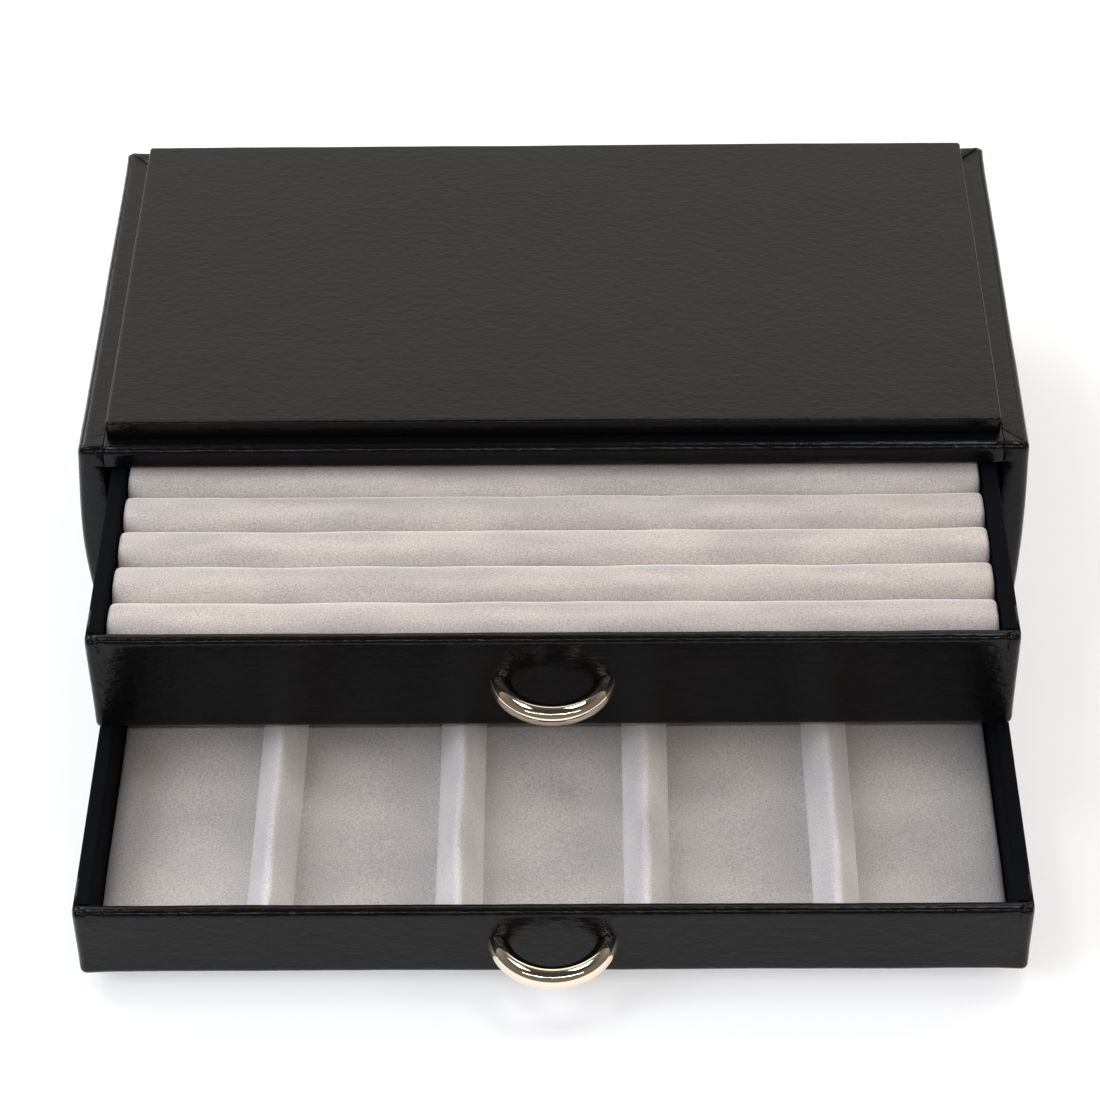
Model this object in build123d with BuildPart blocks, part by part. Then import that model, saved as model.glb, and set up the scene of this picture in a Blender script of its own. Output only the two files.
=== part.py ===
from build123d import *
import math
import os

os.makedirs("parts", exist_ok=True)

# A leather-covered box for cufflinks and rings: a case with two drawers, one over the other.
# Frame: origin at the middle of the underside, +X to the viewer's right, the drawers open towards -Y,
# +Z up. Both drawers stand partly open, as the object is shown. All sizes are in millimetres.

# --- covering materials ---------------------------------------------------------------------------
leather = 1.0                # grained leather over board
lining = 1.0                 # black lining on the drawers' boards
bay_lining = 1.0             # black lining on the inside of the case
soft_gap = 0.3               # room round a soft piece

# --- case -----------------------------------------------------------------------------------------
case_width = 303.0
case_depth = 163.0
cloth = 1.0                  # cloth under the base
side_board = 6.3
top_board_thickness = 5.5
bottom_board_thickness = 3.0
back_board_thickness = 4.0
case_edge_radius = 2.6       # over the leather
turn_in = 12.0               # how far the leather is turned into the drawer bays
ledge_turn = 13.0            # how far the leather is turned in over the top
rebate = 2.0                 # how deep the top, bottom and back boards sit in the side boards
shelf_thickness = 2.0
shelf_dado = 1.8             # how deep the shelf sits in the side boards
shelf_setback = 2.0
nose_radius = 0.6            # on the shelf's front edge
mouth_share = 0.9            # of the leather's thickness, rounded off at the mouth of the bays

# --- raised panel on the top ----------------------------------------------------------------------
panel_rise = 6.0
side_ledge = 8.9
end_ledge = 6.2              # in front of the panel and behind it
panel_edge_radius = 1.2

# --- drawers --------------------------------------------------------------------------------------
side_play = 1.6              # between a drawer and the bay, each side
slide_gap = 0.3              # under each drawer
shelf_gap = 0.8              # over the lower drawer
rail_gap = 1.4               # over the upper drawer
rear_gap = 0.5               # behind a closed drawer
lower_height = 27.2
upper_height = 37.5
lower_hold = 6.5             # of the lower drawer left in the case when it is fully out
upper_open = 78.0
front_board_thickness = 2.5
drawer_board = 3.0
bottom_panel = 2.4
bottom_rise = 0.6            # underside of the bottom panel over the front's lower edge
panel_rebate = 1.5           # how deep the bottom panel sits in the sides and the back
rim_drop = 0.4               # sides and back below the front's upper edge
front_edge_radius = 1.8
rim_radius = 1.2
front_turn = 10.0            # how far the front's leather is turned down inside
turn_radius = 0.5            # where the front's leather turns down behind
side_wrap = 10.0             # how far the front's leather is wrapped round onto the sides

# --- ring rolls in the upper drawer ---------------------------------------------------------------
roll_count = 9
roll_height = 21.5
roll_crown = 5.0             # how far the crest stands over the shoulders
roll_draw = 0.5              # how far each flank is drawn in at its foot
roll_shoulder_radius = 2.0
roll_end_radius = 1.5
crest_drop = 1.1             # roll crests below the rim
roll_front_room = 1.5        # between the front and the first roll

# --- padded floor and dividers in the lower drawer ------------------------------------------------
floor_depth = 16.1           # padded floor below the rim
floor_edge_radius = 1.5
divider_count = 4
divider_pitch = 56.8
divider_base = 13.7
divider_height = 12.0        # to the crest before it is rounded
divider_flank = 0.6          # how far each flank swells
divider_crest_radius = 1.8
divider_end_radius = 1.5

# --- bow pulls ------------------------------------------------------------------------------------
pull_bar = 6.4               # diameter of the bar
pull_span = 32.4             # between the two ends, centre to centre
pull_reach = 13.3            # rise of the bow's centreline over its ends

# --- screws that hold the pulls -------------------------------------------------------------------
screw_radius = 1.25
screw_play = 0.1             # round the screw in board and leather
thread_play = 0.05           # round the screw in the pull
screw_reach = 3.2            # into the pull
screw_bottom = 0.4           # left in the tapped hole past the screw's end
head_radius = 2.5
head_height = 1.2
head_play = 0.2
head_rounding = 0.4

# --- places worked out from the sizes above -------------------------------------------------------
half_width = case_width / 2
half_depth = case_depth / 2
core_half_width = half_width - leather
core_half_depth = half_depth - leather
wall = leather + side_board + bay_lining
bay_half_width = half_width - wall
board_inner = bay_half_width + bay_lining
turn_end = -half_depth + turn_in
back_board_face = core_half_depth - back_board_thickness
bay_floor = cloth + bottom_board_thickness + bay_lining
lower_bottom = bay_floor + slide_gap
lower_top = lower_bottom + lower_height
shelf_bottom = lower_top + shelf_gap
shelf_top = shelf_bottom + shelf_thickness
upper_bottom = shelf_top + slide_gap
upper_top = upper_bottom + upper_height
bay_ceiling = upper_top + rail_gap
top_board_bottom = bay_ceiling + leather
core_top = top_board_bottom + top_board_thickness
ledge_height = core_top + leather      # from the table to the ledge round the raised panel

panel_half_width = half_width - side_ledge
panel_half_depth = half_depth - end_ledge
panel_top = ledge_height + panel_rise

drawer_half_width = bay_half_width - side_play
drawer_length = back_board_face - rear_gap + half_depth
lower_open = drawer_length - lower_hold
board_half_width = drawer_half_width - leather
side_inner = board_half_width - drawer_board
inner_half_width = side_inner - lining
front_thickness = leather + front_board_thickness + leather
inner_length = drawer_length - front_thickness - drawer_board - 2 * lining


def save(piece, name):
    """Labels a finished piece and writes it under its own name."""
    piece.part.label = name
    export_step(piece.part, f"parts/{name}.step")


def block(x, y, z, mode=Mode.ADD):
    """Adds to the open part, or cuts from it, a square block between two faces on each axis."""
    with Locations((x[0], y[0], z[0])):
        Box(x[1] - x[0], y[1] - y[0], z[1] - z[0], align=(Align.MIN, Align.MIN, Align.MIN), mode=mode)


def both(half):
    """The two faces that lie at the same distance either side of the middle."""
    return (-half, half)


# === case: boards =================================================================================

for name, side in (("left_board", -1), ("right_board", 1)):
    # The profile faces front: a board with rebates for the top and bottom and a groove for the shelf.
    with BuildPart() as board:
        with BuildSketch(Plane.XZ.offset(core_half_depth)):
            with BuildLine():
                Polyline(
                    (side * board_inner, cloth + bottom_board_thickness),
                    (side * board_inner, shelf_bottom),
                    (side * (board_inner + shelf_dado), shelf_bottom),
                    (side * (board_inner + shelf_dado), shelf_top),
                    (side * board_inner, shelf_top),
                    (side * board_inner, top_board_bottom),
                    (side * (board_inner + rebate), top_board_bottom),
                    (side * (board_inner + rebate), core_top),
                    (side * core_half_width, core_top),
                    (side * core_half_width, cloth),
                    (side * (board_inner + rebate), cloth),
                    (side * (board_inner + rebate), cloth + bottom_board_thickness),
                    close=True,
                )
            make_face()
        extrude(amount=-2 * core_half_depth)
        outer_edges = board.faces().sort_by(Axis.X)[-1 if side > 0 else 0].edges().sort_by(Axis.Z)[1:]
        end_edges = board.faces().sort_by(Axis.Z)[-1].edges().filter_by(Axis.X)
        fillet(outer_edges + end_edges, case_edge_radius - leather)
        block(
            both(board_inner + rebate),
            (back_board_face, core_half_depth),
            (cloth, core_top),
            mode=Mode.SUBTRACT,
        )
        # in front of the turned-in leather the groove is not needed
        stopped = (side * (board_inner + shelf_dado), side * board_inner)
        block((min(stopped), max(stopped)), (-core_half_depth, turn_end), (shelf_bottom, shelf_top))
    save(board, name)

with BuildPart() as top_board:
    block(both(board_inner + rebate), (-core_half_depth, back_board_face), (top_board_bottom, core_top))
    front_edge = top_board.edges().filter_by(Axis.X).group_by(Axis.Y)[0].sort_by(Axis.Z)[-1]
    fillet(front_edge, case_edge_radius - leather)
save(top_board, "top_board")

with BuildPart() as bottom_board:
    block(
        both(board_inner + rebate),
        (-core_half_depth, back_board_face),
        (cloth, cloth + bottom_board_thickness),
    )
save(bottom_board, "bottom_board")

with BuildPart() as back_board:
    block(both(board_inner + rebate), (back_board_face, core_half_depth), (cloth, core_top))
    top_edge = back_board.edges().filter_by(Axis.X).group_by(Axis.Y)[-1].sort_by(Axis.Z)[-1]
    fillet(top_edge, case_edge_radius - leather)
save(back_board, "back_board")

with BuildPart() as shelf:
    # full width in the grooves, and narrower where it passes between the turned-in leather
    block(both(board_inner + shelf_dado), (turn_end, back_board_face), (shelf_bottom, shelf_top))
    block(both(bay_half_width), (-half_depth + shelf_setback, turn_end), (shelf_bottom, shelf_top))
    nose = shelf.edges().filter_by(Axis.X).group_by(Axis.Y)[0]
    fillet(nose, nose_radius)
save(shelf, "shelf")

# === case: leather ================================================================================

# The boards together, as one block with rounded edges, which the leather closes round.
with BuildPart() as core:
    block(both(core_half_width), both(core_half_depth), (0, core_top))
    fillet(
        core.edges().filter_by(Axis.Z) + core.edges().group_by(Axis.Z)[-1],
        case_edge_radius - leather,
    )

# The whole jacket in one: outside, ledge and the turn-ins round the mouth of the bays.
with BuildPart() as jacket:
    block(both(half_width), both(half_depth), (cloth, ledge_height))
    fillet(jacket.edges().filter_by(Axis.Z) + jacket.edges().group_by(Axis.Z)[-1], case_edge_radius)
    add(core.part, mode=Mode.SUBTRACT)
    block(
        both(half_width - ledge_turn),
        both(half_depth - ledge_turn),
        (core_top, ledge_height),
        mode=Mode.SUBTRACT,
    )
    bay_mouth = (bay_floor - bay_lining, bay_ceiling + leather)
    block(both(board_inner), (-half_depth, turn_end), bay_mouth)
    block(
        both(bay_half_width),
        (-half_depth, turn_end),
        (bay_floor, bay_ceiling),
        mode=Mode.SUBTRACT,
    )
    mouth = jacket.faces().sort_by(Axis.Y)[0].inner_wires()[0].edges()
    fillet(mouth, leather * mouth_share)

# Where the jacket is divided: the rail and the sill between the side walls, the back at mitred corners.
rail_zone = (-half_depth, -half_depth + ledge_turn)

with BuildPart() as back_zone:
    with BuildSketch(Plane.XY):
        with BuildLine():
            Polyline(
                (-half_width, half_depth),
                (half_width, half_depth),
                (half_width - half_depth, 0),
                (half_depth - half_width, 0),
                close=True,
            )
        make_face()
    extrude(amount=ledge_height)

with BuildPart() as rail_leather:
    add(jacket.part)
    block(both(bay_half_width), rail_zone, (shelf_top, ledge_height), mode=Mode.INTERSECT)
save(rail_leather, "rail_leather")

with BuildPart() as sill_leather:
    add(jacket.part)
    block(both(bay_half_width), rail_zone, (cloth, shelf_bottom), mode=Mode.INTERSECT)
save(sill_leather, "sill_leather")

with BuildPart() as back_leather:
    add(jacket.part)
    add(back_zone.part, mode=Mode.INTERSECT)
save(back_leather, "back_leather")

for name, x_range in (("side_leather_left", (-half_width, 0)), ("side_leather_right", (0, half_width))):
    with BuildPart() as side_leather:
        add(jacket.part)
        add(back_zone.part, mode=Mode.SUBTRACT)
        block(both(bay_half_width), rail_zone, (cloth, ledge_height), mode=Mode.SUBTRACT)
        block(x_range, both(half_depth), (cloth, ledge_height), mode=Mode.INTERSECT)
    save(side_leather, name)

# === case: raised panel, base cloth and bay linings ===============================================

with BuildPart() as panel_board:
    # a step under its edge lets the board down between the turned-in leather
    block(
        both(panel_half_width - leather),
        both(panel_half_depth - leather),
        (ledge_height, panel_top - leather),
    )
    fillet(panel_board.edges().group_by(Axis.Z)[-1], panel_edge_radius - leather)
    block(both(half_width - ledge_turn), both(half_depth - ledge_turn), (core_top, ledge_height))
save(panel_board, "panel_board")

with BuildPart() as panel_leather:
    block(both(panel_half_width), both(panel_half_depth), (ledge_height, panel_top))
    fillet(
        panel_leather.edges().filter_by(Axis.Z) + panel_leather.edges().group_by(Axis.Z)[-1],
        panel_edge_radius,
    )
    add(panel_board.part, mode=Mode.SUBTRACT)
save(panel_leather, "panel_leather")

with BuildPart() as base_cloth:
    block(both(core_half_width), both(core_half_depth), (0, cloth))
    fillet(base_cloth.edges().filter_by(Axis.Z), case_edge_radius)
save(base_cloth, "base_cloth")

for name, side in (("bay_lining_left", -1), ("bay_lining_right", 1)):
    x_range = sorted((side * bay_half_width, side * board_inner))
    with BuildPart() as bay_side:
        block(x_range, (turn_end, back_board_face), (bay_floor, top_board_bottom))
        block(x_range, (turn_end, back_board_face), (shelf_bottom, shelf_top), mode=Mode.SUBTRACT)
    save(bay_side, name)

with BuildPart() as bay_floor_lining:
    block(both(board_inner), (turn_end, back_board_face), (bay_floor - bay_lining, bay_floor))
save(bay_floor_lining, "bay_floor_lining")

# === drawers ======================================================================================


def make_front(name, front, bottom, top):
    """The drawer's front: board, leather with its turn-ins, and the lining over the screw heads."""
    board_front = front + leather
    board_back = board_front + front_board_thickness
    inside = board_back + leather
    screw_z = (bottom + top) / 2
    head_seat = board_back - head_height - head_play

    with BuildPart() as front_board:
        block(both(board_half_width), (board_front, board_back), (bottom + leather, top - leather))
        fillet(front_board.edges().filter_by(Axis.X).group_by(Axis.Y)[0], front_edge_radius - leather)
        with BuildSketch(Plane.XZ.offset(-board_front)):
            with Locations((-pull_span / 2, screw_z), (pull_span / 2, screw_z)):
                Circle(screw_radius + screw_play)
        extrude(amount=-front_board_thickness, mode=Mode.SUBTRACT)
        with BuildSketch(Plane.XZ.offset(-head_seat)):
            with Locations((-pull_span / 2, screw_z), (pull_span / 2, screw_z)):
                Circle(head_radius + head_play)
        extrude(amount=-(head_height + head_play), mode=Mode.SUBTRACT)
    save(front_board, f"{name}_front_board")

    with BuildPart() as front_leather:
        block(both(drawer_half_width), (front, inside), (bottom, top))
        face_edges = front_leather.faces().sort_by(Axis.Y)[0].edges()
        corner_edges = front_leather.edges().filter_by(Axis.Y)
        fillet(face_edges + corner_edges, front_edge_radius)
        fillet(front_leather.faces().sort_by(Axis.Y)[-1].edges(), turn_radius)
        # a flap at each end goes round onto the drawer's side
        flap_z = (bottom + bottom_rise, top - rim_drop)
        for x_range in ((-drawer_half_width, -board_half_width), (board_half_width, drawer_half_width)):
            block(x_range, (board_back, inside + side_wrap), flap_z)
        # room for the board, for the lining below the turn-in, and for the sides at both ends
        block(
            both(board_half_width),
            (board_front, board_back),
            (bottom + leather, top - leather),
            mode=Mode.SUBTRACT,
        )
        behind = (board_back, inside)
        block(both(board_half_width), behind, (bottom, top - front_turn), mode=Mode.SUBTRACT)
        for x_range in ((-board_half_width, -side_inner), (side_inner, board_half_width)):
            block(x_range, behind, (bottom, top - leather), mode=Mode.SUBTRACT)
        for x_range in ((-drawer_half_width, -board_half_width), (board_half_width, drawer_half_width)):
            block(x_range, behind, (bottom, bottom + bottom_rise), mode=Mode.SUBTRACT)
        with BuildSketch(Plane.XZ.offset(-front)):
            with Locations((-pull_span / 2, screw_z), (pull_span / 2, screw_z)):
                Circle(screw_radius + screw_play)
        extrude(amount=-leather, mode=Mode.SUBTRACT)
    save(front_leather, f"{name}_front_leather")

    with BuildPart() as front_lining:
        block(both(side_inner), behind, (bottom + bottom_rise + bottom_panel, top - front_turn))
    save(front_lining, f"{name}_front_lining")


def make_box(name, front, bottom, top):
    """The drawer's sides, back and bottom, with their linings folded over the rim."""
    side_front = front + leather + front_board_thickness
    inside = front + front_thickness
    rear = front + drawer_length
    board_rear = rear - lining
    back_face = board_rear - drawer_board
    low = bottom + bottom_rise
    panel_top_face = low + bottom_panel
    rim = top - rim_drop
    board_top = rim - lining

    for hand, side in (("left", -1), ("right", 1)):
        with BuildPart() as side_part:
            with BuildSketch(Plane.XZ.offset(-side_front)):
                with BuildLine():
                    Polyline(
                        (side * board_half_width, low),
                        (side * board_half_width, board_top),
                        (side * side_inner, board_top),
                        (side * side_inner, panel_top_face),
                        (side * (side_inner + panel_rebate), panel_top_face),
                        (side * (side_inner + panel_rebate), low),
                        close=True,
                    )
                make_face()
            extrude(amount=-(board_rear - side_front))
            rim_edges = side_part.edges().filter_by(Axis.Y).group_by(Axis.Z)[-1]
            fillet(rim_edges, rim_radius - lining)
            # behind the bottom panel the rebate stops
            stopped = sorted((side * side_inner, side * (side_inner + panel_rebate)))
            block(stopped, (back_face + panel_rebate, board_rear), (low, panel_top_face))
        save(side_part, f"{name}_{hand}_side")

        with BuildPart() as side_lining:
            outer = board_half_width + lining
            with BuildSketch(Plane.XZ.offset(-inside)) as section:
                with BuildLine():
                    Polyline(
                        (side * outer, low),
                        (side * outer, rim),
                        (side * inner_half_width, rim),
                        (side * inner_half_width, panel_top_face),
                        (side * side_inner, panel_top_face),
                        (side * side_inner, board_top),
                        (side * board_half_width, board_top),
                        (side * board_half_width, low),
                        close=True,
                    )
                make_face()
                corners = section.vertices().group_by(Axis.Y)
                fillet(corners[-1], rim_radius)
                fillet(corners[-2], rim_radius - lining)
            extrude(amount=-(board_rear - inside))
            # the front's leather lies here instead, on the outside of the board
            flap = sorted((side * board_half_width, side * outer))
            block(flap, (inside, inside + side_wrap), (low, rim), mode=Mode.SUBTRACT)
            # and the back board comes in between the sides
            corner = sorted((side * inner_half_width, side * side_inner))
            block(corner, (back_face, board_rear), (low, rim), mode=Mode.SUBTRACT)
        save(side_lining, f"{name}_{hand}_lining")

    with BuildPart() as back_part:
        with BuildSketch(Plane.YZ.offset(-side_inner)):
            with BuildLine():
                Polyline(
                    (board_rear, low),
                    (board_rear, board_top),
                    (back_face, board_top),
                    (back_face, panel_top_face),
                    (back_face + panel_rebate, panel_top_face),
                    (back_face + panel_rebate, low),
                    close=True,
                )
            make_face()
        extrude(amount=2 * side_inner)
        fillet(back_part.edges().filter_by(Axis.X).group_by(Axis.Z)[-1], rim_radius - lining)
    save(back_part, f"{name}_back")

    with BuildPart() as back_lining:
        with BuildSketch(Plane.YZ.offset(-side_inner)) as section:
            with BuildLine():
                Polyline(
                    (rear, low),
                    (rear, rim),
                    (back_face - lining, rim),
                    (back_face - lining, panel_top_face),
                    (back_face, panel_top_face),
                    (back_face, board_top),
                    (board_rear, board_top),
                    (board_rear, low),
                    close=True,
                )
            make_face()
            corners = section.vertices().group_by(Axis.Y)
            fillet(corners[-1], rim_radius)
            fillet(corners[-2], rim_radius - lining)
        extrude(amount=2 * side_inner)
        # the inner leg stops against the sides' linings, and the outer one covers the sides' ends
        for x_range in ((-side_inner, -inner_half_width), (inner_half_width, side_inner)):
            block(x_range, (back_face - lining, back_face), (low, rim), mode=Mode.SUBTRACT)
        side_ends = board_half_width + lining
        for x_range in ((-side_ends, -side_inner), (side_inner, side_ends)):
            block(x_range, (board_rear, rear), (low, board_top))
    save(back_lining, f"{name}_back_lining")

    with BuildPart() as bottom_part:
        block(
            both(side_inner + panel_rebate),
            (side_front, back_face + panel_rebate),
            (low, panel_top_face),
        )
    save(bottom_part, f"{name}_bottom")


def make_pull(name, front, bottom, top):
    """The bow pull, bent from round bar and cut flush on the leather, and its two screws."""
    level = (bottom + top) / 2
    half_span = pull_span / 2
    bow_radius = (half_span**2 + pull_reach**2) / (2 * pull_reach)
    half_angle = math.degrees(math.asin(half_span / bow_radius))
    run_past = math.degrees(pull_bar / bow_radius)      # past the leather, then cut off
    bow_plane = Plane(origin=(0, front, level), x_dir=(1, 0, 0), z_dir=(0, 0, -1))
    centre_out = pull_reach - bow_radius                # the bow's centre, out from the leather

    with BuildPart() as pull:
        with BuildLine(bow_plane) as path:
            CenterArc(
                (0, centre_out),
                bow_radius,
                90 - half_angle - run_past,
                2 * (half_angle + run_past),
            )
        with BuildSketch(Plane(origin=path.line @ 0, z_dir=path.line % 0)):
            Circle(pull_bar / 2)
        sweep()
        split(bisect_by=Plane.XZ.offset(-front), keep=Keep.TOP)
        with BuildSketch(Plane.XZ.offset(-front)):
            with Locations((-half_span, level), (half_span, level)):
                Circle(screw_radius + thread_play)
        extrude(amount=screw_reach + screw_bottom, mode=Mode.SUBTRACT)
    save(pull, f"{name}_pull")

    head_seat = front + leather + front_board_thickness - head_height - head_play
    with BuildPart() as screws:
        with BuildSketch(Plane.XZ.offset(-head_seat)):
            with Locations((-half_span, level), (half_span, level)):
                Circle(head_radius)
        extrude(amount=-head_height)
        fillet(screws.edges().filter_by(GeomType.CIRCLE).group_by(Axis.Y)[-1], head_rounding)
        with BuildSketch(Plane.XZ.offset(-head_seat)):
            with Locations((-half_span, level), (half_span, level)):
                Circle(screw_radius)
        extrude(amount=head_seat - front + screw_reach)
    save(screws, f"{name}_pull_screws")


for drawer, opened, drawer_bottom, drawer_top in (
    ("upper", upper_open, upper_bottom, upper_top),
    ("lower", lower_open, lower_bottom, lower_top),
):
    front_face = -half_depth - opened
    make_front(drawer, front_face, drawer_bottom, drawer_top)
    make_box(drawer, front_face, drawer_bottom, drawer_top)
    make_pull(drawer, front_face, drawer_bottom, drawer_top)

# === upper drawer: ring rolls =====================================================================

upper_inside = -half_depth - upper_open + front_thickness
upper_floor = upper_bottom + bottom_rise + bottom_panel
roll_crest = upper_top - crest_drop
roll_foot = roll_crest - roll_height
roll_half_length = inner_half_width - soft_gap
roll_pitch = (inner_length - roll_front_room) / roll_count
roll_half_width = (roll_pitch - soft_gap) / 2

with BuildPart() as roll_base:
    block(
        both(roll_half_length),
        (upper_inside + soft_gap, upper_inside + inner_length - soft_gap),
        (upper_floor, roll_foot),
    )
save(roll_base, "upper_roll_base")

for index in range(roll_count):
    middle = upper_inside + roll_front_room + (index + 0.5) * roll_pitch
    shoulder = roll_crest - roll_crown
    with BuildPart() as ring_roll:
        with BuildSketch(Plane.YZ.offset(-roll_half_length)) as section:
            with BuildLine():
                Line((middle - roll_half_width + roll_draw, roll_foot), (middle - roll_half_width, shoulder))
                ThreePointArc(
                    (middle - roll_half_width, shoulder),
                    (middle, roll_crest),
                    (middle + roll_half_width, shoulder),
                )
                Line((middle + roll_half_width, shoulder), (middle + roll_half_width - roll_draw, roll_foot))
                Line(
                    (middle + roll_half_width - roll_draw, roll_foot),
                    (middle - roll_half_width + roll_draw, roll_foot),
                )
            make_face()
            fillet(section.vertices().group_by(Axis.Y)[-1], roll_shoulder_radius)
        extrude(amount=2 * roll_half_length)
        for end in (0, -1):
            outline = ring_roll.faces().sort_by(Axis.X)[end].edges().sort_by(Axis.Z)
            fillet(outline[1:], roll_end_radius)
    save(ring_roll, f"ring_roll_{index + 1}")

# === lower drawer: padded floor and dividers ======================================================

lower_inside = -half_depth - lower_open + front_thickness
lower_floor = lower_bottom + bottom_rise + bottom_panel
pad_top = lower_top - rim_drop - floor_depth

with BuildPart() as floor_pad:
    block(
        both(inner_half_width - soft_gap),
        (lower_inside + soft_gap, lower_inside + inner_length - soft_gap),
        (lower_floor, pad_top),
    )
    fillet(floor_pad.edges().group_by(Axis.Z)[-1], floor_edge_radius)
save(floor_pad, "lower_floor_pad")

divider_half_length = inner_length / 2 - soft_gap

for index in range(divider_count):
    middle = (index - (divider_count - 1) / 2) * divider_pitch
    half_base = divider_base / 2
    crest = pad_top + divider_height
    mid_height = pad_top + divider_height / 2
    with BuildPart() as divider:
        with BuildSketch(Plane.XZ.offset(-lower_inside - soft_gap)) as section:
            with BuildLine():
                ThreePointArc(
                    (middle - half_base, pad_top),
                    (middle - half_base / 2 - divider_flank, mid_height),
                    (middle, crest),
                )
                ThreePointArc(
                    (middle, crest),
                    (middle + half_base / 2 + divider_flank, mid_height),
                    (middle + half_base, pad_top),
                )
                Line((middle + half_base, pad_top), (middle - half_base, pad_top))
            make_face()
            fillet(section.vertices().sort_by(Axis.Y)[-1], divider_crest_radius)
        extrude(amount=-2 * divider_half_length)
        ends = divider.faces().sort_by(Axis.Y)
        end_edges = ends[0].edges() + ends[-1].edges()
        fillet(end_edges.sort_by(Axis.Z)[2:], divider_end_radius)
    save(divider, f"lower_divider_{index + 1}")
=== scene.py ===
import math

import bmesh
import bpy
from mathutils import Matrix, Vector, noise


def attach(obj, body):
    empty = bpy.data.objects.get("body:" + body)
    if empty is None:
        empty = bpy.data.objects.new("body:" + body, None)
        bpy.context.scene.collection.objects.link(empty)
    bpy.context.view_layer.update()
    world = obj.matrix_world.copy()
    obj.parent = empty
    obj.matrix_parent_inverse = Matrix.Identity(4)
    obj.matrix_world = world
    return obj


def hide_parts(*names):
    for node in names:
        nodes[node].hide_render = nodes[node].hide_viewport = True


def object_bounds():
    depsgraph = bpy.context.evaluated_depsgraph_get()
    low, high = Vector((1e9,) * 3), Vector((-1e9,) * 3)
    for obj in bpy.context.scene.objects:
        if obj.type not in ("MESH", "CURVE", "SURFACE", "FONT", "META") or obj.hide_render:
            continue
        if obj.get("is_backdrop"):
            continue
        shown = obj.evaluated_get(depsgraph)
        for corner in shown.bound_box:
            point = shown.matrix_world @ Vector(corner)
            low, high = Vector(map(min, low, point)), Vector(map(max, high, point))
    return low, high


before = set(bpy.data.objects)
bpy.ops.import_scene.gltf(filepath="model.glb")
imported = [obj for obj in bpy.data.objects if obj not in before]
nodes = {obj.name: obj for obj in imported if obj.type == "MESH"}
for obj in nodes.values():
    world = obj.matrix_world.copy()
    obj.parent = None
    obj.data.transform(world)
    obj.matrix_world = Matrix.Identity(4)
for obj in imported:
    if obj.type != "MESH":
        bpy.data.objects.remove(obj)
cad_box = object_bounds()

# === Case boards ==================================================================================
# The carcass under the leather: two grooved side boards, top, bottom and back in their rebates, all
# of raw fibreboard and glued. The leather and the linings of the finished box hide them.

scene = bpy.context.scene
mm = 0.001


def linear(colour):
    """A colour written in sRGB hex, as the linear values that a shader works with."""
    parts = [int(colour[place:place + 2], 16) / 255 for place in (0, 2, 4)]
    return [c / 12.92 if c <= 0.04045 else ((c + 0.055) / 1.055) ** 2.4 for c in parts] + [1.0]


def add_node(tree, kind, inputs=(), **settings):
    """Adds a shader node: settings are its attributes, inputs its values or what feeds it."""
    node = tree.nodes.new("ShaderNode" + kind)
    for name, value in settings.items():
        setattr(node, name, value)
    for name, value in dict(inputs).items():
        if isinstance(value, bpy.types.NodeSocket):
            tree.links.new(value, node.inputs[name])
        else:
            node.inputs[name].default_value = value
    return node


def new_finish(name, colour, sockets):
    """A material of one colour and gloss, and its tree and shader to add a pattern to."""
    finish = bpy.data.materials.new(name)
    finish.use_nodes = True
    shader = finish.node_tree.nodes["Principled BSDF"]
    shader.inputs["Base Color"].default_value = linear(colour)
    for socket, value in sockets.items():
        shader.inputs[socket].default_value = value
    return finish, finish.node_tree, shader


def place_in_mm(tree, lengths):
    """The surface's own place, counted in the given lengths along x, y and z, in millimetres."""
    place = add_node(tree, "TexCoord").outputs["Object"]
    scale = [1.0 / (length * mm) for length in lengths]
    return add_node(tree, "Mapping", {"Vector": place, "Scale": scale}).outputs["Vector"]


def finish_nodes(names, finish):
    """Gives CAD nodes, which keep their own shape, their finish."""
    for name in names:
        nodes[name].data.materials.clear()
        nodes[name].data.materials.append(finish)


# Medium density fibreboard, sawn: matt, with pressed fibres a millimetre or two long.
fibre_length = 1.8           # mm

fibreboard, tree, shader = new_finish("fibreboard", "9c8468", {"Roughness": 0.85})
fibres = add_node(
    tree,
    "TexNoise",
    {"Scale": 1.0, "Vector": place_in_mm(tree, (fibre_length,) * 3), "Detail": 3.0},
)
tint = add_node(tree, "ValToRGB", {"Fac": fibres.outputs["Fac"]})
tint.color_ramp.elements[0].color = linear("8a7358")
tint.color_ramp.elements[1].color = linear("ad967a")
tree.links.new(tint.outputs["Color"], shader.inputs["Base Color"])

finish_nodes(
    ["left_board", "right_board", "top_board", "bottom_board", "back_board", "panel_board"],
    fibreboard,
)

# === Bay linings and shelf ========================================================================
# Black lining paper, pasted on the inside walls and the floor of the case, and round the thin shelf
# that parts the two bays. It is matt, with a fine pressed grain.

paper_grain = 0.5            # mm, between the bumps of the pressed grain
paper_relief = 0.02          # mm, their height

lining_paper, tree, shader = new_finish(
    "lining_paper", "0c0d10", {"Roughness": 1.0, "Specular IOR Level": 0.06}
)
grain = add_node(
    tree,
    "TexNoise",
    {"Scale": 1.0, "Vector": place_in_mm(tree, (paper_grain,) * 3), "Detail": 2.0},
)
relief = add_node(
    tree, "Bump", {"Height": grain.outputs["Fac"], "Distance": paper_relief * mm}
)
tree.links.new(relief.outputs["Normal"], shader.inputs["Normal"])

finish_nodes(["bay_lining_left", "bay_lining_right", "bay_floor_lining"], lining_paper)
finish_nodes(["shelf"], lining_paper)

# === Base cloth ===================================================================================
# A sheet of black felt glued under the bottom board, so that the box doesn't scratch the table. Its
# short nap is pressed flat.

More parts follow.
